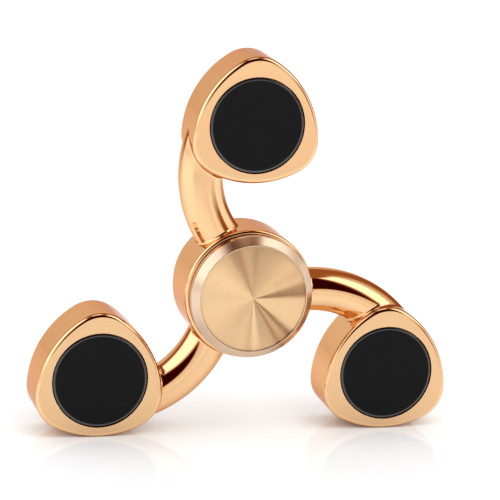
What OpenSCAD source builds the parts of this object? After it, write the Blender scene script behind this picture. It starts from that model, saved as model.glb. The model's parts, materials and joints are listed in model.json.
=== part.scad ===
// Three-arm fidget spinner: a plated one-piece frame with a hub ring, three curved arms and three
// rounded-triangle pods, a shielded miniature ball bearing, and a finger cap on each side.
//
// Frame of reference: the origin is the bearing's centre. The spin axis runs along Y, the front faces -Y,
// and +Z points up to the top pod, so that the spinner stands on its two lower pods.
// Every module draws its piece flat, with its front up, and face_up() turns the result to face -Y.

/* [Layout] */
// Distance from the spin axis to each pod's centre
pod_pitch = 30; // [29.5:0.5:31]
// Thickness of the hub ring and of the pods
frame_t = 10; // [9.5:0.1:11]

/* [Pods] */
// Distance from a pod's centre to the middle of each of its three sides
pod_inradius = 10.3; // [10.2:0.1:10.6]
// Radius of a pod's slightly bulging sides
pod_side_r = 17; // [15:0.5:22]
// Radius of a pod's rounded corners
pod_corner_r = 6; // [4:0.5:7]
// Radius of the recess for an inlay
recess_r = 8.5; // [8:0.1:8.7]
// Depth of the recess for an inlay
recess_d = 1.2; // [1:0.1:1.6]
// Radius of the counterweight's bore
weight_bore_r = 6.5; // [5:0.1:7]

/* [Arms] */
// Radius of an arm's round section
arm_r = 3.88; // [3.5:0.02:4.2]
// Radius of an arm's bend, to the middle of the section
arm_bend_r = 19.6; // [19:0.1:20]
// Place of the top arm's bend centre, across and up from the spin axis
arm_centre = [11.1, 21];

/* [Hub] */
// Outer radius of the hub ring
hub_r = 11.5; // [11.2:0.1:12]
// Radius of the clearance round the caps' posts
hub_recess_r = 8; // [7.5:0.1:8.5]
// Thickness of the shoulder that the bearing is pressed against
bearing_stop_t = 0.9; // [0.6:0.1:1.2]
// Rounding of the frame's front and back edges
edge_r = 0.8; // [0.4:0.1:1]

/* [Bearing] */
// Bore radius of the bearing
bearing_bore_r = 3.175; // [3.1:0.005:3.2]
// Outer radius of the bearing
bearing_r = 6.35; // [6.3:0.01:6.4]
// Width of the bearing
bearing_w = 4.762; // [4.6:0.002:4.9]
// Number of balls
ball_count = 10; // [8:1:10]
// Radius of a ball
ball_r = 0.794; // [0.78:0.002:0.8]
// Radius of the inner ring's shoulders
inner_land_r = 4.25; // [4.2:0.01:4.3]
// Radius of the outer ring's shoulders
outer_land_r = 5.3; // [5.25:0.01:5.35]
// Thickness of a shield
shield_t = 0.2; // [0.15:0.01:0.25]

/* [Finger caps] */
// Outer radius of a finger cap
cap_r = 10.9; // [10.5:0.1:11.2]
// Radius of a cap's face, inside its bevel
cap_face_r = 9.6; // [9.55:0.05:10]
// Distance from the middle of the spinner to a cap's underside
cap_base_h = 5.3; // [5.2:0.1:5.6]
// Distance from the middle of the spinner to the start of a cap's bevel
cap_shoulder_h = 6.9; // [6.6:0.1:7.2]
// Distance from the middle of the spinner to a cap's rim
cap_top_h = 8.2; // [8:0.1:8.6]
// Radius of the spun disc in a cap
cap_disc_r = 9.42; // [9:0.01:9.44]
// Depth of the spun disc's face below the rim
cap_disc_drop = 0.2; // [0.1:0.05:0.3]
// Radius of the stud that joins the caps
stud_r = 2; // [1.5:0.1:2.2]

/* [Hidden] */

rose_gold = [0.93, 0.68, 0.52];
steel = [0.75, 0.76, 0.78];
champagne = [0.90, 0.74, 0.53];
gloss_black = [0.05, 0.05, 0.06];

// Directions of the pods' and arms' turns about the spin axis
top = 0;
left = 120;
right = 240;

half_t = frame_t / 2;
half_w = bearing_w / 2;
// Radial clearance of pieces that are pressed or glued in place
press_gap = 0.01;
// Radial clearance of the spigots in the bearing's bore, and of the stud in its holes
slip_gap = 0.02;

// A pod's outline: the side arcs' centres lie across the pod, the corner arcs' centres towards its corners
side_back = pod_side_r - pod_inradius;
centre_gap = pod_side_r - pod_corner_r;
corner_out = (sqrt(4 * pow(centre_gap, 2) - 3 * pow(side_back, 2)) - side_back) / 2;
side_half_angle = atan2(corner_out * sin(60), corner_out * cos(60) + side_back);
arc_steps = 9;

// Where an arm's bend passes closest to the spin axis, and to the pod's centre
arm_to_hub = atan2(-arm_centre[1], -arm_centre[0]) + 360;
arm_to_pod = atan2(pod_pitch - arm_centre[1], -arm_centre[0]);

ball_pitch_r = (bearing_bore_r + bearing_r) / 2;
groove_r = ball_r + 0.036;
cage_gap = 0.08;
cage_front_h = 0.35;
cage_back_h = 1.3;
pocket_gap = 0.066;
shield_h = 1.85;
shield_r = 5.9;
shield_seat_gap = 0.03;
shield_running_gap = 0.1;
clip_wire_r = 0.12;
clip_opening = 14;
ring_chamfer = 0.15;

stop_bore_r = 5.6;
post_r = 4;
post_flare_r = 6.5;
post_flare_h = 4.4;
spigot_end_h = 0.2;
spigot_chamfer = 0.2;
cap_edge = 0.3;
cap_recess_floor_h = cap_top_h - 0.7;
stud_half = 6.2;
stud_hole_h = 6.4;
stud_chamfer = 0.3;

inlay_r = recess_r - 0.04;
inlay_drop = 0.02;
inlay_edge = 0.45;

function ball_name(i) = str("ball_", i < 10 ? "0" : "", i);

// Points along an arc about a centre
function arc(centre, r, from, to, steps) =
    [for (i = [0 : steps]) let (a = from + (to - from) * i / steps) centre + r * [cos(a), sin(a)]];

// A pod's outline, drawn in by inset, with a corner straight up
function pod_outline(inset) = [
    for (corner = [90, 210, 330])
        let (
            side = corner + 60,
            corner_centre = corner_out * [cos(corner), sin(corner)],
            side_centre = -side_back * [cos(side), sin(side)]
        )
        each concat(
            arc(corner_centre, pod_corner_r - inset, corner - 60 + side_half_angle,
                corner + 60 - side_half_angle, arc_steps),
            [for (i = [1 : arc_steps - 1])
                let (a = side - side_half_angle + 2 * side_half_angle * i / arc_steps)
                side_centre + (pod_side_r - inset) * [cos(a), sin(a)]]
        )
];

// Turns a piece drawn flat, front up, so that its front faces -Y
module face_up() {
    rotate([90, 0, 0]) children();
}

// Puts a piece on the other face of the spinner
module on_back() {
    mirror([0, 0, 1]) children();
}

module at_pod(turn) {
    rotate(turn) translate([0, pod_pitch, 0]) children();
}

// ---- frame ----

module pod_slab(inset, half) {
    translate([0, 0, -half]) linear_extrude(2 * half) polygon(pod_outline(inset));
}

// A pod's body, with its front and back edges rounded in two steps
module pod_blank() {
    hull() {
        pod_slab(0, half_t - edge_r);
        pod_slab(edge_r * (1 - cos(45)), half_t - edge_r * (1 - sin(45)));
        pod_slab(edge_r, half_t);
    }
}

module pod_bores() {
    cylinder(h = frame_t + 2, r = weight_bore_r, center = true, $fn = 64);
    for (side = [0, 1])
        mirror([0, 0, side])
            translate([0, 0, half_t - recess_d]) cylinder(h = recess_d + 1, r = recess_r, $fn = 96);
}

module arm() {
    translate([arm_centre[0], arm_centre[1], 0])
        rotate(arm_to_pod)
            rotate_extrude(angle = arm_to_hub - arm_to_pod, $fn = 96)
                translate([arm_bend_r, 0]) circle(r = arm_r, $fn = 48);
}

module hub_blank() {
    in_r = hub_r - edge_r;
    in_h = half_t - edge_r;
    rotate_extrude($fn = 128)
        polygon(concat(
            [[0, -half_t]],
            arc([in_r, -in_h], edge_r, -90, 0, 6),
            arc([in_r, in_h], edge_r, 0, 90, 6),
            [[0, half_t]]
        ));
}

// The bearing is pressed in from the front, against a shoulder
module hub_bores() {
    translate([0, 0, -half_w]) cylinder(h = frame_t, r = bearing_r + press_gap, $fn = 96);
    cylinder(h = frame_t + 2, r = stop_bore_r, center = true, $fn = 96);
    translate([0, 0, half_w + 0.2]) cylinder(h = frame_t, r = hub_recess_r, $fn = 96);
    on_back() translate([0, 0, half_w + bearing_stop_t]) cylinder(h = frame_t, r = hub_recess_r, $fn = 96);
}

module spinner_frame() {
    color(rose_gold) face_up() difference() {
        union() {
            hub_blank();
            for (turn = [top, left, right]) {
                rotate(turn) arm();
                at_pod(turn) pod_blank();
            }
        }
        hub_bores();
        for (turn = [top, left, right]) at_pod(turn) pod_bores();
    }
}

// ---- bearing ----

module ball_groove() {
    translate([ball_pitch_r, 0]) circle(r = groove_r, $fn = 48);
}

module bearing_outer_ring() {
    seat_r = shield_r + shield_seat_gap;
    edge_out_r = bearing_r - ring_chamfer;
    edge_h = half_w - ring_chamfer;
    color(steel) face_up() rotate_extrude($fn = 96) difference() {
        polygon([
            [outer_land_r, -shield_h], [seat_r, -shield_h], [seat_r, -half_w], [edge_out_r, -half_w],
            [bearing_r, -edge_h], [bearing_r, edge_h],
            [edge_out_r, half_w], [seat_r, half_w], [seat_r, shield_h], [outer_land_r, shield_h]
        ]);
        ball_groove();
    }
}

module bearing_inner_ring() {
    edge_in_r = bearing_bore_r + ring_chamfer;
    edge_h = half_w - ring_chamfer;
    color(steel) face_up() rotate_extrude($fn = 96) difference() {
        polygon([
            [edge_in_r, -half_w], [inner_land_r, -half_w], [inner_land_r, half_w], [edge_in_r, half_w],
            [bearing_bore_r, edge_h], [bearing_bore_r, -edge_h]
        ]);
        ball_groove();
    }
}

module at_ball(i) {
    rotate(90 + 360 * (i - 1) / ball_count) translate([ball_pitch_r, 0, 0]) children();
}

module bearing_ball(i) {
    color(steel) face_up() at_ball(i) sphere(r = ball_r, $fn = 32);
}

// Snap-in crown cage: a ring behind the balls, with a round pocket for each
module ball_cage() {
    color("ivory") face_up() difference() {
        rotate_extrude($fn = 96)
            translate([inner_land_r + cage_gap, -cage_back_h])
                square([outer_land_r - inner_land_r - 2 * cage_gap, cage_back_h + cage_front_h]);
        for (i = [1 : ball_count]) at_ball(i) sphere(r = ball_r + pocket_gap, $fn = 32);
    }
}

module shield() {
    inner_r = inner_land_r + shield_running_gap;
    color(steel) rotate_extrude($fn = 96)
        translate([inner_r, shield_h]) square([shield_r - inner_r, shield_t]);
}

// Open wire ring that holds a shield in its seat
module shield_clip() {
    color(steel) rotate(clip_opening / 2)
        rotate_extrude(angle = 360 - clip_opening, $fn = 96)
            translate([shield_r - clip_wire_r, shield_h + shield_t + clip_wire_r])
                circle(r = clip_wire_r, $fn = 24);
}

module front_shield() {
    face_up() shield();
}

module back_shield() {
    face_up() on_back() shield();
}

module front_shield_clip() {
    face_up() shield_clip();
}

module back_shield_clip() {
    face_up() on_back() shield_clip();
}

// ---- finger caps ----

// Half profile of a cap: spigot, post that stands on the inner ring, underside, bevelled rim, recess
module cap() {
    hole_r = stud_r + slip_gap;
    spigot_r = bearing_bore_r - slip_gap;
    recess_wall_r = cap_disc_r + press_gap;
    color(steel) rotate_extrude($fn = 128)
        polygon([
            [hole_r, spigot_end_h], [spigot_r - spigot_chamfer, spigot_end_h],
            [spigot_r, spigot_end_h + spigot_chamfer], [spigot_r, half_w],
            [post_r, half_w], [post_r, post_flare_h], [post_flare_r, cap_base_h],
            [cap_r - cap_edge, cap_base_h], [cap_r, cap_base_h + cap_edge], [cap_r, cap_shoulder_h],
            [cap_face_r, cap_top_h], [recess_wall_r, cap_top_h], [recess_wall_r, cap_recess_floor_h],
            [0, cap_recess_floor_h], [0, stud_hole_h], [hole_r, stud_hole_h]
        ]);
}

module cap_disc() {
    face_h = cap_top_h - cap_disc_drop;
    color(champagne) translate([0, 0, cap_recess_floor_h])
        cylinder(h = face_h - cap_recess_floor_h, r = cap_disc_r, $fn = 96);
}

module front_cap() {
    face_up() cap();
}

module back_cap() {
    face_up() on_back() cap();
}

module front_cap_disc() {
    face_up() cap_disc();
}

module back_cap_disc() {
    face_up() on_back() cap_disc();
}

module cap_stud() {
    tip_r = stud_r - stud_chamfer;
    tip_h = stud_half - stud_chamfer;
    color(steel) face_up() rotate_extrude($fn = 64)
        polygon([
            [0, -stud_half], [tip_r, -stud_half], [stud_r, -tip_h],
            [stud_r, tip_h], [tip_r, stud_half], [0, stud_half]
        ]);
}

// ---- pods ----

module weight(turn) {
    color(steel) face_up() at_pod(turn)
        cylinder(h = frame_t - 2 * recess_d, r = weight_bore_r - slip_gap, center = true, $fn = 64);
}

// Gloss disc with a rounded front edge, glued into a pod's recess
module inlay() {
    floor_h = half_t - recess_d;
    face_h = half_t - inlay_drop;
    color(gloss_black) rotate_extrude($fn = 96)
        polygon(concat(
            [[0, floor_h], [inlay_r, floor_h]],
            arc([inlay_r - inlay_edge, face_h - inlay_edge], inlay_edge, 0, 90, 4),
            [[0, face_h]]
        ));
}

module front_inlay(turn) {
    face_up() at_pod(turn) inlay();
}

module back_inlay(turn) {
    face_up() on_back() at_pod(turn) inlay();
}

spinner_frame();
bearing_outer_ring();
bearing_inner_ring();
ball_cage();
for (i = [1 : ball_count])
    bearing_ball(i);
front_shield();
back_shield();
front_shield_clip();
back_shield_clip();
front_cap();
back_cap();
front_cap_disc();
back_cap_disc();
cap_stud();
weight(top);  // top_weight
weight(left);  // left_weight
weight(right);  // right_weight
front_inlay(top);  // top_front_inlay
front_inlay(left);  // left_front_inlay
front_inlay(right);  // right_front_inlay
back_inlay(top);  // top_back_inlay
back_inlay(left);  // left_back_inlay
back_inlay(right);  // right_back_inlay
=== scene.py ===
"""Three-arm fidget spinner: a plated casting, turned finger caps and gloss inlays, in a plain studio.

Pieces are shaped lying flat, with their front up (+Z), as in the part's own drawing. They are then turned so
that the front faces -Y. All lengths are in metres.
"""

import json
import logging
import math
from collections.abc import Callable
from dataclasses import dataclass, field
from enum import Enum

import bmesh
import bpy
from mathutils import Matrix, Vector


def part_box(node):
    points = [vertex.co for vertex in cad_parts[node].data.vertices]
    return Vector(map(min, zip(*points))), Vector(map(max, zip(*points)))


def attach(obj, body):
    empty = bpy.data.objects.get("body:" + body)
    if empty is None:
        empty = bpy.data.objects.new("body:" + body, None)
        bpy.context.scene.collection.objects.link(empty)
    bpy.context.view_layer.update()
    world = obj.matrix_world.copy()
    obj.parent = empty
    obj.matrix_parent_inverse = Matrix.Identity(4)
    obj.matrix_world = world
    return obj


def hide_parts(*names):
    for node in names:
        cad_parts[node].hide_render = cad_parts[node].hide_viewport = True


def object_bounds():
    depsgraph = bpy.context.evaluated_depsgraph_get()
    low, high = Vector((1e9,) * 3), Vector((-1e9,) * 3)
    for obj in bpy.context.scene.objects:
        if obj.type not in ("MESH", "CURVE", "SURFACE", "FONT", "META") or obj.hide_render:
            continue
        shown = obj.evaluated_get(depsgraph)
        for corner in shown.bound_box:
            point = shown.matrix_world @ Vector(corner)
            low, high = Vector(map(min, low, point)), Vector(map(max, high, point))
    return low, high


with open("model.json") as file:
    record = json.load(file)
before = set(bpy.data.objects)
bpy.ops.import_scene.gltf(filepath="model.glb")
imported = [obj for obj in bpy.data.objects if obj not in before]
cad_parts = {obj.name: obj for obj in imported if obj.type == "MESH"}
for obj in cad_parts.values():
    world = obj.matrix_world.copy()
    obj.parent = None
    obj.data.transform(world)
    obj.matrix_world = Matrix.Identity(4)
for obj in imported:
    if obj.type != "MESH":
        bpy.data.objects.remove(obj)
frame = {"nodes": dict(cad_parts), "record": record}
CAD_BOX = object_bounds()

LOG = logging.getLogger("spinner")
MM = 0.001
NEAR = 0.002 * MM
FACE_UP = Matrix.Rotation(math.radians(90.0), 4, "X")
AXIS = Vector((0.0, 0.0, 1.0))
RIM = "rim"

Colour = tuple[float, float, float, float]
Outline = list[tuple[float, float]]
Level = float | bpy.types.NodeSocket
Wall = Callable[[Vector], tuple[float, Vector]]


class Pod(Enum):
    """The three pods, a third of a turn apart."""

    TOP = "top"
    LEFT = "left"
    RIGHT = "right"


class Side(Enum):
    """The two faces of the spinner."""

    FRONT = "front"
    BACK = "back"


# ---- sizes read from the frame ----


@dataclass(frozen=True)
class Drum:
    """A round node's radius and how far it reaches from the middle plane."""

    radius: float
    near: float
    far: float

    @classmethod
    def of(cls, node: str) -> "Drum":
        """Measures a round node that lies on the front side.

        Args:
            node: The node's name.

        Returns:
            The node's radius, and its nearest and furthest height from the middle plane.
        """
        low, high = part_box(node)
        return cls((high.x - low.x) / 2, -high.y, -low.y)


# ---- bmesh helpers ----


def polar(radius: float, degrees: float) -> Vector:
    """A flat point at a distance and direction from the origin."""
    turn = math.radians(degrees)
    return Vector((radius * math.cos(turn), radius * math.sin(turn), 0.0))


def lathe(profile: Outline, steps: int) -> bmesh.types.BMesh:
    """Turns a closed half outline about the spin axis.

    Args:
        profile: Points as (radius, height), in order round the outline.
        steps: Number of steps round the full turn.

    Returns:
        A closed mesh, front up.
    """
    bm = bmesh.new()
    verts = [bm.verts.new((r, 0.0, h)) for r, h in profile]
    for a, b in zip(verts, verts[1:] + verts[:1]):
        if a.co.x > NEAR or b.co.x > NEAR:
            bm.edges.new((a, b))
    bmesh.ops.spin(bm, geom=bm.verts[:] + bm.edges[:], cent=(0, 0, 0), axis=AXIS,
                   angle=2 * math.pi, steps=steps, use_merge=True)
    bmesh.ops.remove_doubles(bm, verts=bm.verts[:], dist=NEAR)
    bmesh.ops.dissolve_degenerate(bm, edges=bm.edges[:], dist=NEAR / 10)
    bmesh.ops.recalc_face_normals(bm, faces=bm.faces[:])
    return bm


def ring_edges(bm: bmesh.types.BMesh, radius: float, height: float) -> list[bmesh.types.BMEdge]:
    """Finds the edges of a turned mesh that lie round one ring.

    Args:
        bm: The mesh.
        radius: The ring's radius.
        height: The ring's height.

    Returns:
        The edges whose two ends are both on the ring.
    """
    ring = {v for v in bm.verts
            if abs(v.co.xy.length - radius) < NEAR and abs(v.co.z - height) < NEAR}
    return [e for e in bm.edges if ring.issuperset(e.verts)]


def round_edges(bm: bmesh.types.BMesh, edges: list[bmesh.types.BMEdge], size: float, segments: int) -> None:
    """Rounds edges with a bevel of even width."""
    bmesh.ops.bevel(bm, geom=edges, offset=size, offset_type="OFFSET", segments=segments, profile=0.5,
                    affect="EDGES", material=-1)


def verts_of(geom: list) -> list[bmesh.types.BMVert]:
    """The vertices in an operator's result."""
    return [g for g in geom if isinstance(g, bmesh.types.BMVert)]


def edges_of(geom: list) -> list[bmesh.types.BMEdge]:
    """The edges in an operator's result."""
    return [g for g in geom if isinstance(g, bmesh.types.BMEdge)]


def extend(bm: bmesh.types.BMesh, edges: list[bmesh.types.BMEdge], lift: float = 0.0,
           grow: float = 1.0) -> list[bmesh.types.BMEdge]:
    """Extrudes an open loop, moving the new loop up by lift or scaling it about the origin by grow.

    Args:
        bm: The mesh.
        edges: The loop's edges.
        lift: Height that the new loop moves.
        grow: Scale of the new loop in plan.

    Returns:
        The new loop's edges.
    """
    made = bmesh.ops.extrude_edge_only(bm, edges=edges)["geom"]
    bmesh.ops.translate(bm, verts=verts_of(made), vec=(0, 0, lift))
    bmesh.ops.scale(bm, verts=verts_of(made), vec=(grow, grow, 1))
    return [e for e in edges_of(made) if e not in edges and len(e.link_faces) == 1]


def place_piece(bm: bmesh.types.BMesh, name: str, body: str, nodes: list[str], finish: "Finish",
                sharp: float = 35.0) -> bpy.types.Object:
    """Turns a finished mesh to face -Y and hands it to the frame.

    Args:
        bm: The mesh, front up; it is freed here.
        name: The piece's name.
        body: The body that it rides on.
        nodes: The nodes that it stands for.
        finish: What it is finished in.
        sharp: Edges that bend by more than this, in degrees, stay crisp.

    Returns:
        The new object.
    """
    bmesh.ops.transform(bm, matrix=FACE_UP, verts=bm.verts[:])
    for face in bm.faces:
        face.smooth = True
    for edge in bm.edges:
        if len(edge.link_faces) == 2 and edge.calc_face_angle() > math.radians(sharp):
            edge.smooth = False
    mesh = bpy.data.meshes.new(name)
    bm.to_mesh(mesh)
    bm.free()
    piece = bpy.data.objects.new(name, mesh)
    bpy.context.scene.collection.objects.link(piece)
    if finish.even_normals:
        weighted = piece.modifiers.new("even_normals", "WEIGHTED_NORMAL")
        weighted.keep_sharp = True
        weighted.mode = "FACE_AREA"
    finish.put_on(piece)
    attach(piece, body)
    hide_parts(*nodes)
    LOG.info("%s: %d faces on %s", name, len(mesh.polygons), body)
    return piece


# ---- shader helpers ----


def new_group(name: str, inputs: dict[str, float],
              outputs: dict[str, str]) -> tuple[bpy.types.NodeTree, bpy.types.Node, bpy.types.Node]:
    """Starts a shader node group.

    Args:
        name: The group's name.
        inputs: Float inputs and their default values.
        outputs: Output names and their socket types.

    Returns:
        The group's tree, its input node and its output node.
    """
    tree = bpy.data.node_groups.new(name, "ShaderNodeTree")
    for label, value in inputs.items():
        tree.interface.new_socket(label, in_out="INPUT", socket_type="NodeSocketFloat").default_value = value
    for label, kind in outputs.items():
        tree.interface.new_socket(label, in_out="OUTPUT", socket_type=kind)
    return tree, tree.nodes.new("NodeGroupInput"), tree.nodes.new("NodeGroupOutput")


def maths(tree: bpy.types.NodeTree, operation: str, *values: Level) -> bpy.types.NodeSocket:
    """Adds a Math node.

    Args:
        tree: The tree.
        operation: The node's operation.
        values: A number or a socket for each input.

    Returns:
        The node's output.
    """
    node = tree.nodes.new("ShaderNodeMath")
    node.operation = operation
    for socket, value in zip(node.inputs, values):
        if isinstance(value, bpy.types.NodeSocket):
            tree.links.new(value, socket)
        else:
            socket.default_value = value
    return node.outputs[0]


def object_noise(tree: bpy.types.NodeTree, per_metre: float, detail: float) -> bpy.types.NodeSocket:
    """Adds noise in object coordinates.

    Args:
        tree: The tree.
        per_metre: Patches in each metre.
        detail: Finer layers on top of the first.

    Returns:
        The noise's value, from 0 to 1.
    """
    where = tree.nodes.new("ShaderNodeTexCoord")
    mapping = tree.nodes.new("ShaderNodeMapping")
    mapping.inputs["Scale"].default_value = Vector((per_metre, per_metre, per_metre))
    tree.links.new(where.outputs["Object"], mapping.inputs["Vector"])
    noise = tree.nodes.new("ShaderNodeTexNoise")
    noise.inputs["Scale"].default_value = 1.0
    noise.inputs["Detail"].default_value = detail
    tree.links.new(mapping.outputs["Vector"], noise.inputs["Vector"])
    return noise.outputs[0]


def ring_noise(tree: bpy.types.NodeTree, count: bpy.types.NodeSocket, per_ring: float,
               detail: float) -> bpy.types.NodeSocket:
    """Adds noise that changes from one ring of a turned face to the next.

    Args:
        tree: The tree.
        count: Rings out from the axis.
        per_ring: Changes in each ring.
        detail: Finer layers on top of the first.

    Returns:
        The noise's value, from 0 to 1.
    """
    noise = tree.nodes.new("ShaderNodeTexNoise")
    noise.noise_dimensions = "1D"
    noise.inputs["Scale"].default_value = per_ring
    noise.inputs["Detail"].default_value = detail
    tree.links.new(count, noise.inputs["W"])
    return noise.outputs[0]


def polish_group() -> bpy.types.NodeTree:
    """Polish: a mirror surface's faint ripple and its patches of finer and coarser polish.

    Returns:
        The group, with a roughness and a normal.
    """
    patches_per_metre, ripples_per_metre = 180.0, 240.0
    ripple_height = 0.02 * MM
    tree, inlet, outlet = new_group("polish", {"Roughness": 0.04, "Patchiness": 0.02, "Ripple": 0.05},
                                    {"Roughness": "NodeSocketFloat", "Normal": "NodeSocketVector"})
    patches = object_noise(tree, patches_per_metre, detail=4.0)
    spread = maths(tree, "SUBTRACT", patches, 0.5)
    offset = maths(tree, "MULTIPLY", spread, inlet.outputs["Patchiness"])
    tree.links.new(maths(tree, "ADD", inlet.outputs["Roughness"], offset), outlet.inputs["Roughness"])
    bump = tree.nodes.new("ShaderNodeBump")
    bump.inputs["Distance"].default_value = ripple_height
    tree.links.new(inlet.outputs["Ripple"], bump.inputs["Strength"])
    tree.links.new(object_noise(tree, ripples_per_metre, detail=2.0), bump.inputs["Height"])
    tree.links.new(bump.outputs["Normal"], outlet.inputs["Normal"])
    return tree


@dataclass(frozen=True)
class Fold:
    """A sector of a spun face over which its lean changes.

    Start and end are in hours round the face from straight up, and rise is how much the slope changes.
    """

    start: float
    end: float
    rise: float


# Chosen to fan the highlights out; a real spun face is flat. They add up to nothing in a full turn.
FOLDS = (
    Fold(0.3, 2.2, -0.07), Fold(2.3, 3.1, -0.09), Fold(4.2, 5.2, -0.17), Fold(5.5, 6.3, 0.18),
    Fold(6.5, 8.2, 0.12), Fold(9.4, 11.2, -0.08), Fold(10.9, 12.0, 0.11),
)


def turning_group() -> bpy.types.NodeTree:
    """Turning: a spun face's fine rings, and its lean out from the Y axis, which the folds change.

    Returns:
        The group, with a height in metres and a mask for the tint.
    """
    full_turn = 12.0
    rings_per_tint = 0.12
    tree, inlet, outlet = new_group("turning", {"Pitch": 0.1 * MM, "Depth": 0.002 * MM, "Lean": 0.0},
                                    {"Height": "NodeSocketFloat", "Mask": "NodeSocketFloat"})
    where = tree.nodes.new("ShaderNodeTexCoord")
    parts = tree.nodes.new("ShaderNodeSeparateXYZ")
    tree.links.new(where.outputs["Object"], parts.inputs[0])
    across = maths(tree, "MULTIPLY", parts.outputs["X"], parts.outputs["X"])
    up = maths(tree, "MULTIPLY", parts.outputs["Z"], parts.outputs["Z"])
    radius = maths(tree, "SQRT", maths(tree, "ADD", across, up))
    turn = maths(tree, "ARCTAN2", parts.outputs["X"], parts.outputs["Z"])
    hours = maths(tree, "MULTIPLY", turn, full_turn / (2 * math.pi))
    hours = maths(tree, "WRAP", hours, full_turn, 0.0)
    lean = inlet.outputs["Lean"]
    for fold in FOLDS:
        ramp = tree.nodes.new("ShaderNodeMapRange")
        ramp.interpolation_type = "SMOOTHSTEP"
        ramp.inputs["From Min"].default_value = fold.start
        ramp.inputs["From Max"].default_value = fold.end
        tree.links.new(hours, ramp.inputs["Value"])
        lean = maths(tree, "MULTIPLY_ADD", ramp.outputs["Result"], fold.rise, lean)
    count = maths(tree, "DIVIDE", radius, inlet.outputs["Pitch"])
    rings = ring_noise(tree, count, per_ring=1.0, detail=3.0)
    groove = maths(tree, "MULTIPLY", rings, inlet.outputs["Depth"])
    tree.links.new(maths(tree, "SUBTRACT", groove, maths(tree, "MULTIPLY", radius, lean)),
                   outlet.inputs["Height"])
    tree.links.new(ring_noise(tree, count, rings_per_tint, detail=2.0), outlet.inputs["Mask"])
    return tree


@dataclass
class Workshop:
    """The node groups that the finishes share, each made once."""

    groups: dict[str, bpy.types.NodeTree] = field(default_factory=dict)

    def group(self, name: str) -> bpy.types.NodeTree:
        """Finds a shared group, or makes it on first use.

        Args:
            name: The group's name.

        Returns:
            The group.
        """
        makers = {"polish": polish_group, "turning": turning_group}
        if name not in self.groups:
            self.groups[name] = makers[name]()
        return self.groups[name]


WORKSHOP = Workshop()


def place_group(tree: bpy.types.NodeTree, name: str, **values: float) -> bpy.types.Node:
    """Adds a shared group to a material.

    Args:
        tree: The material's tree.
        name: The group's name.
        values: The group's inputs.

    Returns:
        The group's node.
    """
    node = tree.nodes.new("ShaderNodeGroup")
    node.node_tree = WORKSHOP.group(name)
    for label, value in values.items():
        node.inputs[label].default_value = value
    return node


@dataclass(frozen=True)
class Finish:
    """A finish of one of the record's material slots."""

    slot: str
    colour: Colour
    roughness: float
    patchiness: float = 0.02
    ripple: float = 0.05
    metallic: float = 1.0
    edge_tint: Colour = (1.0, 1.0, 1.0, 1.0)
    specular: float = 0.5
    even_normals: bool = True

    def build(self) -> bpy.types.Material:
        """Makes the finish's material, or finds it if it is made.

        Returns:
            The material.
        """
        name = f"{self.slot}_finish"
        if name in bpy.data.materials:
            return bpy.data.materials[name]
        material = bpy.data.materials.new(name)
        material.use_nodes = True
        self.wire(material.node_tree, material.node_tree.nodes["Principled BSDF"])
        return material

    def wire(self, tree: bpy.types.NodeTree, shader: bpy.types.Node) -> None:
        """Sets the shader's own values and links the polish to it.

        Args:
            tree: The material's tree.
            shader: Its Principled shader.
        """
        shader.inputs["Base Color"].default_value = self.colour
        shader.inputs["Metallic"].default_value = self.metallic
        shader.inputs["Specular Tint"].default_value = self.edge_tint
        shader.inputs["Specular IOR Level"].default_value = self.specular
        polish = place_group(tree, "polish", Roughness=self.roughness, Patchiness=self.patchiness,
                             Ripple=self.ripple)
        tree.links.new(polish.outputs["Roughness"], shader.inputs["Roughness"])
        tree.links.new(polish.outputs["Normal"], shader.inputs["Normal"])

    def put_on(self, piece: bpy.types.Object) -> None:
        """Makes this the piece's only material."""
        piece.data.materials.clear()
        piece.data.materials.append(self.build())


@dataclass(frozen=True)
class TurnedFinish(Finish):
    """A metal face cut with fine rings, with folds in its shading that spread its highlights in fans."""

    pitch: float = 0.1 * MM
    ring_depth: float = 0.002 * MM
    anisotropy: float = 0.9
    quarter_turn: float = 0.25
    lean: float = 0.0
    dark: Colour = (0.7, 0.5, 0.3, 1.0)
    even_normals: bool = False

    def wire(self, tree: bpy.types.NodeTree, shader: bpy.types.Node) -> None:
        """Links the rings to the shader's colour and normal, and spreads its highlights across them.

        Args:
            tree: The material's tree.
            shader: Its Principled shader.
        """
        super().wire(tree, shader)
        turning = place_group(tree, "turning", Pitch=self.pitch, Depth=self.ring_depth, Lean=self.lean)
        blend = tree.nodes.new("ShaderNodeMix")
        blend.data_type = "RGBA"
        blend.inputs["A"].default_value = self.dark
        blend.inputs["B"].default_value = self.colour
        tree.links.new(turning.outputs["Mask"], blend.inputs["Factor"])
        tree.links.new(blend.outputs["Result"], shader.inputs["Base Color"])
        bump = tree.nodes.new("ShaderNodeBump")
        bump.inputs["Distance"].default_value = 1.0
        tree.links.new(turning.outputs["Height"], bump.inputs["Height"])
        tree.links.new(bump.outputs["Normal"], shader.inputs["Normal"])
        shader.inputs["Anisotropic"].default_value = self.anisotropy
        shader.inputs["Anisotropic Rotation"].default_value = self.quarter_turn
        tangent = tree.nodes.new("ShaderNodeTangent")
        tangent.direction_type = "RADIAL"
        tangent.axis = "Y"
        tree.links.new(tangent.outputs["Tangent"], shader.inputs["Tangent"])


@dataclass(frozen=True)
class GlossFinish(Finish):
    """A dark gloss finish whose rounded rim, marked by the rim attribute, has a glassier coat."""

    rim_ior: float = 2.0
    rim_roughness: float = 0.12

    def wire(self, tree: bpy.types.NodeTree, shader: bpy.types.Node) -> None:
        """Links the rim's mark to the weight of the coat.

        Args:
            tree: The material's tree.
            shader: Its Principled shader.
        """
        super().wire(tree, shader)
        rim = tree.nodes.new("ShaderNodeAttribute")
        rim.attribute_name = RIM
        tree.links.new(rim.outputs["Fac"], shader.inputs["Coat Weight"])
        shader.inputs["Coat IOR"].default_value = self.rim_ior
        shader.inputs["Coat Roughness"].default_value = self.rim_roughness


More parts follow.
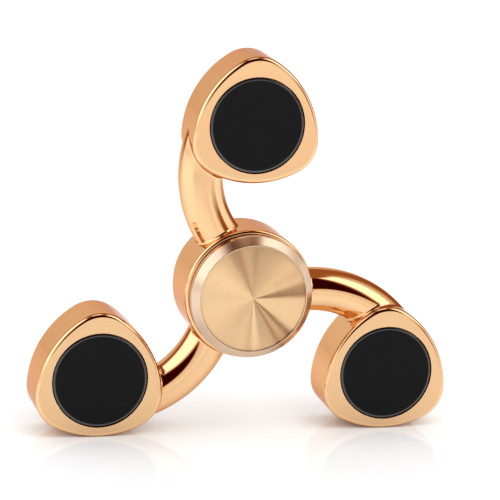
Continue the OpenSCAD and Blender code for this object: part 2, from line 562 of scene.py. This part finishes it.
ROSE_GOLD = Finish("rose_gold_plating", (0.87, 0.56, 0.30, 1.0), 0.03, 0.02, 0.04,
                   edge_tint=(0.75, 0.49, 0.41, 1.0))
POLISHED_CAP = Finish("polished_cap", (0.70, 0.53, 0.39, 1.0), 0.2, 0.04, 0.04,
                      edge_tint=(0.85, 0.72, 0.62, 1.0))
SPUN_CHAMPAGNE = TurnedFinish("spun_champagne", (1.0, 0.715, 0.42, 1.0), 0.40, lean=0.10,
                              anisotropy=0.95, dark=(0.95, 0.63, 0.34, 1.0))
GLOSS_BLACK = GlossFinish("gloss_black", (0.002, 0.002, 0.0022, 1.0), 0.08, 0.02, 0.02, metallic=0.0,
                          specular=0.14)
BEARING_STEEL = Finish("bearing_steel", (0.55, 0.56, 0.58, 1.0), 0.22, 0.12, 0.3)
BALL_STEEL = Finish("ball_steel", (0.66, 0.67, 0.69, 1.0), 0.06, 0.02, 0.02)
CAGE_NYLON = Finish("cage_nylon", (0.72, 0.67, 0.54, 1.0), 0.45, 0.15, 0.5, metallic=0.0)
ZINC_STEEL = Finish("zinc_steel", (0.50, 0.50, 0.52, 1.0), 0.35, 0.2, 0.3)


# ---- the frame's shapes ----


@dataclass(frozen=True)
class PodPlan:
    """A pod's rounded-triangle outline, drawn about its own centre with one corner straight up."""

    inradius: float = 10.3 * MM
    side_radius: float = 17.0 * MM
    corner_radius: float = 6.0 * MM

    @property
    def side_back(self) -> float:
        """Distance from the pod's centre back to a side arc's centre."""
        return self.side_radius - self.inradius

    @property
    def corner_out(self) -> float:
        """Distance from the pod's centre out to a corner arc's centre."""
        gap = self.side_radius - self.corner_radius
        return (math.sqrt(4 * gap * gap - 3 * self.side_back ** 2) - self.side_back) / 2

    @property
    def side_half_angle(self) -> float:
        """Half the angle of a side arc, in degrees."""
        return math.degrees(math.atan2(self.corner_out * math.sin(math.radians(60)),
                                       self.corner_out / 2 + self.side_back))

    def loop(self, bm: bmesh.types.BMesh, height: float, steps: int) -> list[bmesh.types.BMEdge]:
        """Draws the outline with six arcs, each spun from the last point of the one before.

        Args:
            bm: The mesh to draw in.
            height: The outline's height.
            steps: Steps along each arc.

        Returns:
            The outline's edges.
        """
        half = self.side_half_angle
        first_corner = polar(self.corner_out, 90.0)
        point = bm.verts.new(first_corner + polar(self.corner_radius, 30.0 + half) + AXIS * height)
        for corner in (90.0, 210.0, 330.0):
            arcs = ((polar(self.corner_out, corner), 120.0 - 2 * half),
                    (-polar(self.side_back, corner + 60.0), 2 * half))
            for centre, sweep in arcs:
                spun = bmesh.ops.spin(bm, geom=[point], cent=centre, axis=AXIS, angle=math.radians(sweep),
                                      steps=steps)
                point = verts_of(spun["geom_last"])[0]
        bmesh.ops.remove_doubles(bm, verts=bm.verts[:], dist=NEAR)
        return bm.edges[:]

    def wall(self, point: Vector) -> tuple[float, Vector]:
        """Measures a point from the outline.

        Args:
            point: A point about the pod's centre; its height doesn't count.

        Returns:
            The distance outside the outline, and the outline's outward direction there.
        """
        flat = Vector((point.x, point.y, 0.0))
        direction = math.degrees(math.atan2(flat.y, flat.x))
        corner = 90.0 + 120.0 * round((direction - 90.0) / 120.0)
        side = corner + math.copysign(60.0, (direction - corner + 180.0) % 360.0 - 180.0)
        from_side = flat + polar(self.side_back, side)
        lean = math.degrees(from_side.angle(polar(1.0, side)))
        if lean <= self.side_half_angle:
            return from_side.length - self.side_radius, from_side.normalized()
        from_corner = flat - polar(self.corner_out, corner)
        return from_corner.length - self.corner_radius, from_corner.normalized()


@dataclass(frozen=True)
class ArmPlan:
    """An arm: a round section swept round a bend, with a small fillet at each end."""

    section: float = 3.88 * MM
    bend: float = 19.6 * MM
    centre: Vector = Vector((11.1 * MM, 21.0 * MM, 0.0))
    fillet: float = 0.5 * MM
    root: float = 0.4 * MM
    round_steps: int = 72
    bend_steps: int = 56
    fillet_steps: int = 6
    first_angle: float = 135.0
    last_angle: float = 245.0
    search_step: float = 0.5
    search_halvings: int = 24
    straight: float = 0.01

    @property
    def ring_count(self) -> int:
        """Rings along the arm, with both fillets and the two rings sunk in the walls."""
        return self.bend_steps + 1 + 2 * self.fillet_steps + 2

    def outward(self, along: float, around: float) -> Vector:
        """The tube's outward direction at an angle along the bend and one round the section, in degrees."""
        flat = polar(1.0, along) * math.cos(math.radians(around))
        return flat + AXIS * math.sin(math.radians(around))

    def tube(self, along: float, around: float, extra: float = 0.0) -> Vector:
        """A point on the tube, or off it by extra."""
        spine = self.centre + polar(self.bend, along)
        return spine + self.outward(along, around) * (self.section + extra)

    def fillet_angle(self, wall: Wall, around: float, towards: float) -> float:
        """Finds where along the bend a fillet starts.

        Args:
            wall: Function from a point to its distance from the wall and the wall's direction.
            around: Angle round the section.
            towards: Angle along the bend, inside the wall.

        Returns:
            The angle along the bend where a ball of the fillet's radius touches both tube and wall.
        """
        outside = (self.first_angle + self.last_angle) / 2
        inside = outside
        step = math.copysign(self.search_step, towards - outside)
        while wall(self.tube(inside, around, self.fillet))[0] > self.fillet:
            outside, inside = inside, inside + step
        for _ in range(self.search_halvings):
            middle = (outside + inside) / 2
            if wall(self.tube(middle, around, self.fillet))[0] > self.fillet:
                outside = middle
            else:
                inside = middle
        return (outside + inside) / 2

    def fillet_points(self, wall: Wall, along: float, around: float) -> list[Vector]:
        """Points along the fillet from the tube to the wall, and a last one sunk in the wall.

        Args:
            wall: Function from a point to its distance from the wall and the wall's direction.
            along: Angle along the bend where the fillet starts.
            around: Angle round the section.

        Returns:
            The points after the one on the tube.
        """
        ball = self.tube(along, around, self.fillet)
        out = self.outward(along, around)
        facing = wall(ball)[1]
        lean = out.angle(facing)
        points = []
        for step in range(1, self.fillet_steps + 1):
            share = step / self.fillet_steps
            if lean > self.straight:
                blend = out * math.sin((1 - share) * lean) + facing * math.sin(share * lean)
                blend /= math.sin(lean)
            else:
                blend = out.lerp(facing, share)
            points.append(ball - blend * self.fillet)
        return points + [points[-1] - facing * self.root]


@dataclass
class Casting:
    """The one-piece frame: hub ring, three arms and three pods."""

    finish: Finish
    pod: PodPlan = PodPlan()
    arm: ArmPlan = ArmPlan()
    edge: float = 0.8 * MM
    rim_edge: float = 0.05 * MM
    hub_edge: float = 0.6 * MM
    hub_radius: float = 11.5 * MM
    hub_recess: float = 8.0 * MM
    stop_bore: float = 5.6 * MM
    stop_depth: float = 0.9 * MM
    seat_lead: float = 0.2 * MM
    weight_gap: float = 0.02 * MM
    inlay_recess: float = 8.5 * MM
    on_wall: float = 5 * NEAR
    round_steps: int = 192
    arc_steps: int = 24
    edge_segments: int = 8
    rim_segments: int = 3

    def __post_init__(self) -> None:
        """Reads the thickness, the pitch and the seats from the frame."""
        low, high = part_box("spinner_frame")
        self.half = (high.y - low.y) / 2
        low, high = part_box("top_weight")
        self.pitch = (high.z + low.z) / 2
        self.weight_half = (high.y - low.y) / 2
        self.weight_bore = (high.x - low.x) / 2 + self.weight_gap
        low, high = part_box("bearing_outer_ring")
        self.bearing_half = (high.y - low.y) / 2
        self.seat = (high.x - low.x) / 2 + self.weight_gap / 2

    def hub(self) -> bmesh.types.BMesh:
        """Turns the hub ring, with the bearing's seat and the clearance round the caps' posts.

        Returns:
            The hub, front up.
        """
        front_floor = self.bearing_half + self.seat_lead
        back_floor = self.bearing_half + self.stop_depth
        bm = lathe([
            (self.hub_recess, self.half), (self.hub_radius, self.half), (self.hub_radius, -self.half),
            (self.hub_recess, -self.half), (self.hub_recess, -back_floor), (self.stop_bore, -back_floor),
            (self.stop_bore, -self.bearing_half), (self.seat, -self.bearing_half), (self.seat, front_floor),
            (self.hub_recess, front_floor),
        ], self.round_steps)
        for height in (self.half, -self.half):
            round_edges(bm, ring_edges(bm, self.hub_radius, height), self.hub_edge, self.edge_segments)
            round_edges(bm, ring_edges(bm, self.hub_recess, height), self.rim_edge, self.rim_segments)
        return bm

    def pod_body(self) -> bmesh.types.BMesh:
        """Builds one half of a pod from its outline, mirrors it and rounds its edges.

        Returns:
            The pod about its own centre, front up.
        """
        bm = bmesh.new()
        outline = self.pod.loop(bm, self.half, self.arc_steps)
        start = math.degrees(math.atan2(bm.verts[:][0].co.y, bm.verts[:][0].co.x))
        placing = Matrix.Translation(AXIS * self.half) @ Matrix.Rotation(math.radians(start), 4, "Z")
        ring = bmesh.ops.create_circle(bm, cap_ends=False, radius=self.inlay_recess, segments=len(outline),
                                       matrix=placing)["verts"]
        rim = list({e for v in ring for e in v.link_edges})
        bmesh.ops.bridge_loops(bm, edges=outline + rim)
        extend(bm, outline, lift=-self.half)
        floor = extend(bm, rim, lift=self.weight_half - self.half)
        bore = extend(bm, floor, grow=self.weight_bore / self.inlay_recess)
        extend(bm, bore, lift=-self.weight_half)
        bmesh.ops.mirror(bm, geom=bm.verts[:] + bm.edges[:] + bm.faces[:], axis="Z", merge_dist=NEAR)
        bmesh.ops.remove_doubles(bm, verts=bm.verts[:], dist=NEAR)
        bmesh.ops.recalc_face_normals(bm, faces=bm.faces[:])
        for height in (self.half, -self.half):
            face_edges = [e for e in bm.edges if all(abs(v.co.z - height) < NEAR for v in e.verts)]
            outer = [e for e in face_edges
                     if all(abs(self.pod.wall(v.co)[0]) < self.on_wall for v in e.verts)]
            round_edges(bm, outer, self.edge, self.edge_segments)
            round_edges(bm, ring_edges(bm, self.inlay_recess, height), self.rim_edge, self.rim_segments)
        return bm

    def hub_wall(self, point: Vector) -> tuple[float, Vector]:
        """Distance of a point outside the hub's wall, and the wall's outward direction."""
        flat = Vector((point.x, point.y, 0.0))
        return flat.length - self.hub_radius, flat.normalized()

    def pod_wall(self, point: Vector) -> tuple[float, Vector]:
        """Distance of a point outside the top pod's wall, and the wall's outward direction."""
        return self.pod.wall(point - Vector((0.0, self.pitch, 0.0)))

    def arm_body(self) -> bmesh.types.BMesh:
        """Sweeps the arm's section round the bend, then moves each ring to its place on tube and fillets.

        Returns:
            The top pod's arm, front up, with its ends sunk in the walls.
        """
        arm = self.arm
        bm = bmesh.new()
        turn = Matrix.Rotation(math.radians(arm.first_angle), 4, "Z")
        out = Matrix.Translation((arm.bend, 0.0, 0.0)) @ Matrix.Rotation(math.radians(90), 4, "X")
        bmesh.ops.create_circle(bm, cap_ends=False, radius=arm.section, segments=arm.round_steps,
                                matrix=Matrix.Translation(arm.centre) @ turn @ out)
        sweep = arm.last_angle - arm.first_angle
        rings = arm.ring_count - 1
        bmesh.ops.spin(bm, geom=bm.verts[:] + bm.edges[:], cent=arm.centre, axis=AXIS,
                       angle=math.radians(sweep), steps=rings)
        lines = [self.arm_line(360.0 * step / arm.round_steps) for step in range(arm.round_steps)]
        for vert in bm.verts:
            flat = vert.co - arm.centre
            along = math.degrees(math.atan2(flat.y, flat.x)) % 360.0
            around = math.degrees(math.atan2(flat.z, flat.xy.length - arm.bend)) % 360.0
            ring = round((along - arm.first_angle) / sweep * rings)
            vert.co = lines[round(around / 360.0 * arm.round_steps) % arm.round_steps][ring]
        bmesh.ops.holes_fill(bm, edges=bm.edges[:], sides=0)
        bmesh.ops.recalc_face_normals(bm, faces=bm.faces[:])
        return bm

    def arm_line(self, around: float) -> list[Vector]:
        """The arm's points along one line, from inside the pod's wall to inside the hub's.

        Args:
            around: Angle round the section, in degrees.

        Returns:
            One point for each ring.
        """
        arm = self.arm
        pod_end = arm.fillet_angle(self.pod_wall, around, arm.first_angle)
        hub_end = arm.fillet_angle(self.hub_wall, around, arm.last_angle)
        line = list(reversed(arm.fillet_points(self.pod_wall, pod_end, around)))
        for step in range(arm.bend_steps + 1):
            along = pod_end + (hub_end - pod_end) * step / arm.bend_steps
            line.append(arm.tube(along, around))
        return line + arm.fillet_points(self.hub_wall, hub_end, around)

    def build(self) -> bpy.types.Object:
        """Joins the hub with a pod and arm for each of the pods.

        Returns:
            The casting.
        """
        limb = self.pod_body()
        bmesh.ops.translate(limb, verts=limb.verts[:], vec=(0.0, self.pitch, 0.0))
        absorb(limb, self.arm_body())
        bmesh.ops.spin(limb, geom=limb.verts[:] + limb.edges[:] + limb.faces[:], cent=(0, 0, 0), axis=AXIS,
                       angle=2 * math.pi * (len(Pod) - 1) / len(Pod), steps=len(Pod) - 1,
                       use_duplicate=True)
        absorb(limb, self.hub())
        return place_piece(limb, "spinner_casting", "frame", ["spinner_frame"], self.finish)


def absorb(target: bmesh.types.BMesh, extra: bmesh.types.BMesh) -> None:
    """Copies one mesh into another.

    Args:
        target: The mesh that gains the copy.
        extra: The mesh to copy; it is freed here.
    """
    carrier = bpy.data.meshes.new("carrier")
    extra.to_mesh(carrier)
    extra.free()
    target.from_mesh(carrier)
    bpy.data.meshes.remove(carrier)


# ---- caps, discs and inlays ----


def for_side(bm: bmesh.types.BMesh, side: Side) -> bmesh.types.BMesh:
    """Leaves a front piece as it is, or mirrors it for the back and turns its faces out again.

    Args:
        bm: The front piece.
        side: The side that it is wanted for.

    Returns:
        The same mesh.
    """
    if side is Side.BACK:
        bmesh.ops.scale(bm, verts=bm.verts[:], vec=(1, 1, -1))
        bmesh.ops.recalc_face_normals(bm, faces=bm.faces[:])
    return bm


@dataclass
class FingerCap:
    """A turned finger cap and the spun disc that is set in it."""

    cap_finish: Finish
    disc_finish: Finish
    shoulder_height: float = 6.9 * MM
    face_radius: float = 9.6 * MM
    underside: float = 5.3 * MM
    spigot_radius: float = 3.155 * MM
    post_radius: float = 4.0 * MM
    flare_radius: float = 6.5 * MM
    flare_height: float = 4.4 * MM
    hole_radius: float = 2.02 * MM
    hole_height: float = 6.4 * MM
    disc_gap: float = 0.01 * MM
    lower_edge: float = 0.3 * MM
    crease: float = 0.06 * MM
    edge_segments: int = 5
    crease_segments: int = 2
    round_steps: int = 192

    def __post_init__(self) -> None:
        """Reads the cap's, the disc's and the bearing's sizes from the frame."""
        self.cap = Drum.of("front_cap")
        self.disc = Drum.of("front_cap_disc")
        self.bearing_half = Drum.of("bearing_inner_ring").far

    def cap_body(self) -> bmesh.types.BMesh:
        """Turns the cap: spigot, post, underside, skirt, bevel, rim and recess.

        Returns:
            The front cap, front up.
        """
        wall = self.disc.radius + self.disc_gap
        bm = lathe([
            (self.hole_radius, self.cap.near), (self.spigot_radius, self.cap.near),
            (self.spigot_radius, self.bearing_half), (self.post_radius, self.bearing_half),
            (self.post_radius, self.flare_height), (self.flare_radius, self.underside),
            (self.cap.radius, self.underside), (self.cap.radius, self.shoulder_height),
            (self.face_radius, self.cap.far), (wall, self.cap.far), (wall, self.disc.near),
            (0.0, self.disc.near), (0.0, self.hole_height), (self.hole_radius, self.hole_height),
        ], self.round_steps)
        round_edges(bm, ring_edges(bm, self.cap.radius, self.underside), self.lower_edge,
                    self.edge_segments)
        creases = ((self.cap.radius, self.shoulder_height), (self.face_radius, self.cap.far),
                   (wall, self.cap.far))
        for radius, height in creases:
            round_edges(bm, ring_edges(bm, radius, height), self.crease, self.crease_segments)
        return bm

    def disc_body(self) -> bmesh.types.BMesh:
        """Turns the spun disc, with a softened edge.

        Returns:
            The front disc, front up.
        """
        disc = self.disc
        bm = lathe([(0.0, disc.near), (disc.radius, disc.near), (disc.radius, disc.far), (0.0, disc.far)],
                   self.round_steps)
        round_edges(bm, ring_edges(bm, disc.radius, disc.far), self.crease, self.crease_segments)
        return bm

    def build(self, side: Side) -> None:
        """Builds the cap and disc of one side.

        Args:
            side: The side.
        """
        name = side.value
        place_piece(for_side(self.cap_body(), side), f"{name}_finger_cap", "finger_caps", [f"{name}_cap"],
                    self.cap_finish, sharp=25.0)
        place_piece(for_side(self.disc_body(), side), f"{name}_spun_disc", "finger_caps",
                    [f"{name}_cap_disc"], self.disc_finish, sharp=30.0)


@dataclass
class Inlay:
    """A gloss disc with a rounded edge on its outer face, set in a pod."""

    finish: Finish
    edge: float = 0.45 * MM
    lit_at: float = 0.34 * MM
    lit_in: float = 0.6 * MM
    round_steps: int = 160
    edge_segments: int = 8

    def build(self, pod: Pod, side: Side) -> None:
        """Builds the inlay of one pod and side.

        Args:
            pod: The pod that it sits in.
            side: The face of the pod.
        """
        node = f"{pod.value}_{side.value}_inlay"
        size = Drum.of(f"{pod.value}_front_inlay")
        low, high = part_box(node)
        radius, top = size.radius, size.far
        bm = lathe([(0.0, size.near), (radius, size.near), (radius, top), (radius - self.lit_in, top),
                    (0.0, top)], self.round_steps)
        round_edges(bm, ring_edges(bm, radius, top), self.edge, self.edge_segments)
        rim = bm.verts.layers.float.new(RIM)
        for vert in bm.verts:
            inset = radius - vert.co.xy.length
            if vert.co.z > size.near + NEAR:
                vert[rim] = max(0.0, 1.0 - abs(inset - self.lit_at) / (self.lit_in - self.lit_at))
        bm = for_side(bm, side)
        centre = (low + high) / 2
        bmesh.ops.translate(bm, verts=bm.verts[:], vec=(centre.x, centre.z, 0.0))
        place_piece(bm, f"{pod.value}_{side.value}_disc", "frame", [node], self.finish, sharp=50.0)


@dataclass
class HiddenPieces:
    """The bearing, the stud and the weights, which keep their own shapes and get their finishes here."""

    finishes: tuple[Finish, ...]

    def dress(self) -> None:
        """Puts each carried-over node in the finish of its slot."""
        finishes = {finish.slot: finish for finish in self.finishes}
        for row in frame["record"]["subparts"]:
            if row["material_slot"] in finishes:
                finishes[row["material_slot"]].put_on(frame["nodes"][row["node"]])


# ---- the studio ----


@dataclass(frozen=True)
class Panel:
    """A patch of the studio's surroundings that mirror surfaces pick up, by direction in degrees."""

    azimuth: float
    elevation: float
    wide: float
    high: float
    light: float
    soft: float = 6.0


@dataclass(frozen=True)
class SoftBox:
    """A rectangular studio light."""

    name: str
    azimuth: float
    elevation: float
    distance: float
    wide: float
    high: float
    watts: float


@dataclass
class Studio:
    """The floor, the surroundings, the lights and the camera."""

    azimuth: float = -15.37
    elevation: float = 13.78
    roll: float = 2.86
    distance: float = 0.50065
    lens: float = 207.3
    aim: Vector = Vector((-0.255 * MM, -5.0 * MM, 7.99 * MM))
    floor_size: float = 6.0
    floor_colour: Colour = (0.86, 0.86, 0.865, 1.0)
    floor_roughness: float = 0.04
    floor_specular: float = 0.22
    nearest: float = 0.01
    furthest: float = 20.0
    sky: float = 1.34
    room: float = 0.25
    warmth: tuple[float, float, float] = (0.75, 1.45, 2.2)
    panels: tuple[Panel, ...] = (
        Panel(180.0, 12.0, 60.0, 44.0, 0.92, 20.0),
        Panel(0.0, 90.0, 360.0, 25.0, 1.3, 6.0),
        Panel(-3.0, 40.0, 84.0, 60.0, 0.01, 8.0),
        Panel(-5.0, 3.0, 110.0, 16.0, 0.95, 6.0),
        Panel(93.0, 30.0, 36.0, 60.0, 0.8, 24.0),
        Panel(52.0, 10.0, 26.0, 22.0, 0.2, 8.0),
        Panel(84.0, 2.0, 40.0, 26.0, 1.2, 12.0),
        Panel(-90.0, 0.0, 76.0, 20.0, 0.95, 10.0),
        Panel(-88.0, 34.0, 70.0, 56.0, 1.8, 18.0),
        Panel(66.0, 41.0, 42.0, 46.0, 1.8, 8.0),
    )
    boxes: tuple[SoftBox, ...] = (
        SoftBox("key", 40.0, 60.0, 0.6, 0.35, 0.35, 0.7),
    )

    @staticmethod
    def direction(azimuth: float, elevation: float) -> Vector:
        """The direction from the object at an azimuth and elevation, in degrees."""
        a, e = math.radians(azimuth), math.radians(elevation)
        return Vector((math.sin(a) * math.cos(e), -math.cos(a) * math.cos(e), math.sin(e)))

    def build_camera(self) -> None:
        """Places the camera at its viewing angle, with its slight roll."""
        back = self.direction(self.azimuth, self.elevation)
        right = AXIS.cross(back).normalized()
        up = back.cross(right)
        turn = math.radians(self.roll)
        across = right * math.cos(turn) + up * math.sin(turn)
        data = bpy.data.cameras.new("camera")
        data.lens = self.lens
        data.clip_start = self.nearest
        data.clip_end = self.furthest
        camera = bpy.data.objects.new("camera", data)
        place = Matrix((across, back.cross(across), back)).transposed().to_4x4()
        place.translation = self.aim + back * self.distance
        camera.matrix_world = place
        bpy.context.scene.collection.objects.link(camera)
        bpy.context.scene.camera = camera

    def build_floor(self) -> None:
        """Lays a pale glossy floor under the spinner's lowest point."""
        bm = bmesh.new()
        bmesh.ops.create_grid(bm, x_segments=1, y_segments=1, size=self.floor_size / 2)
        bmesh.ops.translate(bm, verts=bm.verts[:], vec=(0, 0, CAD_BOX[0].z))
        mesh = bpy.data.meshes.new("floor")
        bm.to_mesh(mesh)
        bm.free()
        floor = bpy.data.objects.new("floor", mesh)
        bpy.context.scene.collection.objects.link(floor)
        material = bpy.data.materials.new("floor")
        material.use_nodes = True
        shader = material.node_tree.nodes["Principled BSDF"]
        shader.inputs["Base Color"].default_value = self.floor_colour
        shader.inputs["Roughness"].default_value = self.floor_roughness
        shader.inputs["Specular IOR Level"].default_value = self.floor_specular
        mesh.materials.append(material)

    def build_lights(self) -> None:
        """Hangs the soft boxes."""
        for box in self.boxes:
            data = bpy.data.lights.new(box.name, "AREA")
            data.shape = "RECTANGLE"
            data.size, data.size_y = box.wide, box.high
            data.energy = box.watts
            light = bpy.data.objects.new(box.name, data)
            back = self.direction(box.azimuth, box.elevation)
            light.matrix_world = (Matrix.Translation(back * box.distance)
                                  @ back.to_track_quat("Z", "Y").to_matrix().to_4x4())
            light.visible_camera = False
            light.visible_glossy = False
            bpy.context.scene.collection.objects.link(light)

    def build_world(self) -> None:
        """Surrounds the spinner with even light, and with panels that only mirror surfaces show."""
        world = bpy.data.worlds.new("studio")
        bpy.context.scene.world = world
        world.use_nodes = True
        tree = world.node_tree
        background = tree.nodes["Background"]
        where = tree.nodes.new("ShaderNodeTexCoord")
        parts = tree.nodes.new("ShaderNodeSeparateXYZ")
        tree.links.new(where.outputs["Generated"], parts.inputs[0])
        flat = maths(tree, "MULTIPLY", parts.outputs["Y"], -1.0)
        azimuth = maths(tree, "ARCTAN2", parts.outputs["X"], flat)
        elevation = maths(tree, "ARCSINE", parts.outputs["Z"])
        level = self.room
        for panel in self.panels:
            level = self.add_panel(tree, panel, azimuth, elevation, level)
        path = tree.nodes.new("ShaderNodeLightPath")
        mix = tree.nodes.new("ShaderNodeMix")
        mix.data_type = "RGBA"
        mix.inputs["A"].default_value = (self.sky, self.sky, self.sky, 1.0)
        tree.links.new(path.outputs["Is Glossy Ray"], mix.inputs["Factor"])
        tree.links.new(self.warm_dim(tree, level), mix.inputs["B"])
        tree.links.new(mix.outputs["Result"], background.inputs["Color"])

    def warm_dim(self, tree: bpy.types.NodeTree, level: bpy.types.NodeSocket) -> bpy.types.NodeSocket:
        """Warms the dimmer surroundings, and leaves the lit ones white.

        Args:
            tree: The world's tree.
            level: The brightness.

        Returns:
            The colour.
        """
        dim = maths(tree, "MINIMUM", level, 1.0)
        bright = maths(tree, "MAXIMUM", level, 1.0)
        colour = tree.nodes.new("ShaderNodeCombineColor")
        for socket, power in zip(colour.inputs, self.warmth):
            tree.links.new(maths(tree, "MULTIPLY", maths(tree, "POWER", dim, power), bright), socket)
        return colour.outputs[0]

    def add_panel(self, tree: bpy.types.NodeTree, panel: Panel, azimuth: bpy.types.NodeSocket,
                  elevation: bpy.types.NodeSocket, level: Level) -> bpy.types.NodeSocket:
        """Paints one panel over the surroundings so far.

        Args:
            tree: The world's tree.
            panel: The panel.
            azimuth: The ray's azimuth, in radians.
            elevation: The ray's elevation, in radians.
            level: The brightness so far, a number or a socket.

        Returns:
            The brightness with the panel.
        """
        masks = []
        spans = ((azimuth, panel.azimuth, panel.wide), (elevation, panel.elevation, panel.high))
        for angle, middle, size in spans:
            away = maths(tree, "SUBTRACT", angle, math.radians(middle))
            away = maths(tree, "ABSOLUTE", maths(tree, "WRAP", away, math.pi, -math.pi))
            ramp = tree.nodes.new("ShaderNodeMapRange")
            ramp.interpolation_type = "SMOOTHSTEP"
            ramp.inputs["From Min"].default_value = math.radians(size / 2 + panel.soft / 2)
            ramp.inputs["From Max"].default_value = math.radians(size / 2 - panel.soft / 2)
            tree.links.new(away, ramp.inputs["Value"])
            masks.append(ramp.outputs["Result"])
        mix = tree.nodes.new("ShaderNodeMix")
        tree.links.new(maths(tree, "MULTIPLY", *masks), mix.inputs["Factor"])
        if isinstance(level, bpy.types.NodeSocket):
            tree.links.new(level, mix.inputs["A"])
        else:
            mix.inputs["A"].default_value = level
        mix.inputs["B"].default_value = panel.light
        return mix.outputs["Result"]

    def build(self) -> None:
        """Sets up the whole studio."""
        self.build_camera()
        self.build_floor()
        self.build_lights()
        self.build_world()
        bpy.context.scene.view_settings.view_transform = "Standard"
        bpy.context.scene.view_settings.look = "None"


def main() -> None:
    """Builds the studio and the spinner."""
    logging.basicConfig(level=logging.INFO, format="%(message)s")
    Studio().build()
    Casting(ROSE_GOLD).build()
    cap = FingerCap(POLISHED_CAP, SPUN_CHAMPAGNE)
    inlay = Inlay(GLOSS_BLACK)
    for side in Side:
        cap.build(side)
        for pod in Pod:
            inlay.build(pod, side)
    HiddenPieces((BEARING_STEEL, BALL_STEEL, CAGE_NYLON, ZINC_STEEL)).dress()


if __name__ == "__main__":
    main()
